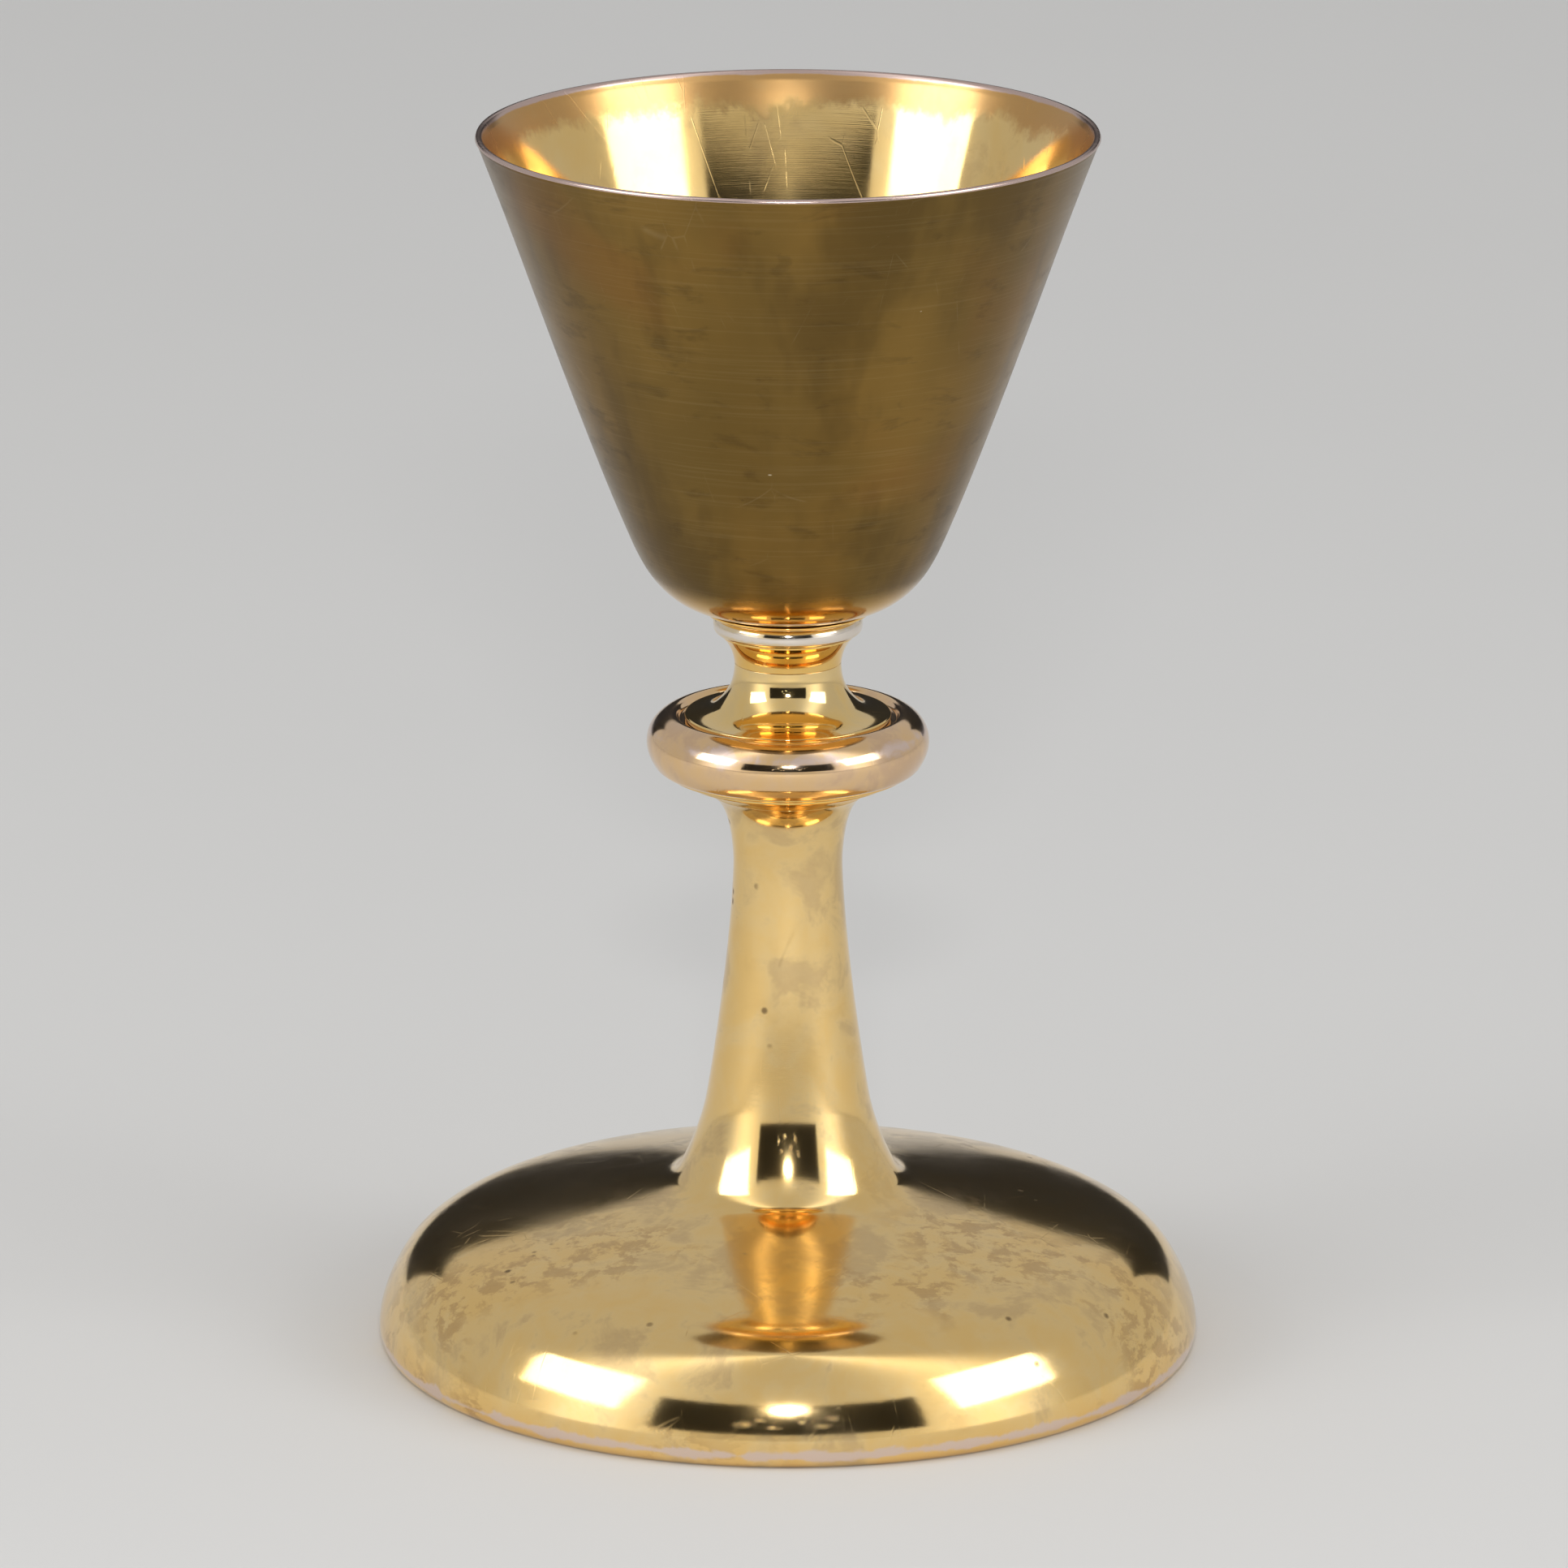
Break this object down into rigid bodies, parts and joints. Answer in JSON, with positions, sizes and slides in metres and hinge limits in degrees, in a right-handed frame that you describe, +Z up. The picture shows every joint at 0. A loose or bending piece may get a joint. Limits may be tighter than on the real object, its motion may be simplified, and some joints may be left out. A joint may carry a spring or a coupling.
{
  "type": "ciborium vessel",
  "caption": "Open church cup on a ringed knop, slim stem and wide domed foot, clamped together by a tie rod and a nut inside the foot.",
  "frame": {"origin": "centre of the circle the foot stands on, at table level", "axes": "+Z up along the turned axis from the foot to the rim; X and Y are any two directions of the turned shape"},
  "size_m": [0.1308, 0.1308, 0.197],
  "materials": {
    "gilt_satin": "gilded, brushed satin outside, polished inside, worn pale at the rim",
    "gilt_polished": "gilded and polished, mottled light tarnish, fine scratches",
    "gilt_orange": "gilded and polished, unworn deep colour",
    "gilt_rose": "gilded and polished, worn through to pinkish silver on the high band",
    "worn_silver": "gilding worn off to polished silver-coloured metal",
    "brass": "turned, unplated",
    "steel": "zinc plated",
    "leather": "pressed packing leather"
  },
  "bodies": {
    "stand": {"foot_shell": "gilt_polished", "foot_rim_wire": "brass", "stem_bush": "brass", "spacer_tube": "brass", "knop_lower_shell": "gilt_polished", "knop_band": "gilt_rose", "knop_upper_shell": "gilt_polished", "neck_moulding": "gilt_orange", "neck_ring": "worn_silver", "packing_ring": "leather", "plate_pad": "leather", "tension_plate": "brass", "flat_washer": "steel", "lock_washer": "steel"},
    "bowl": {"cup": "gilt_satin", "cup_boss": "brass", "saucer_flange": "gilt_orange", "tie_rod": "steel"},
    "nut": {"clamp_nut": "brass"}
  },
  "joints": [
    {"name": "cup_lift", "type": "slide", "parent": "stand", "child": "bowl", "axis": [0, 0, 1], "range_m": [0, 0.007]},
    {"name": "nut_turn", "type": "hinge", "parent": "stand", "child": "nut", "pos_m": [0, 0, 0.0157], "axis": [0, 0, 1], "range_deg": [-2521, 0]}
  ],
  "couplings": [
    {"joint": "nut_turn", "follows": "cup_lift", "rad_per_m": -6283.2}
  ]
}
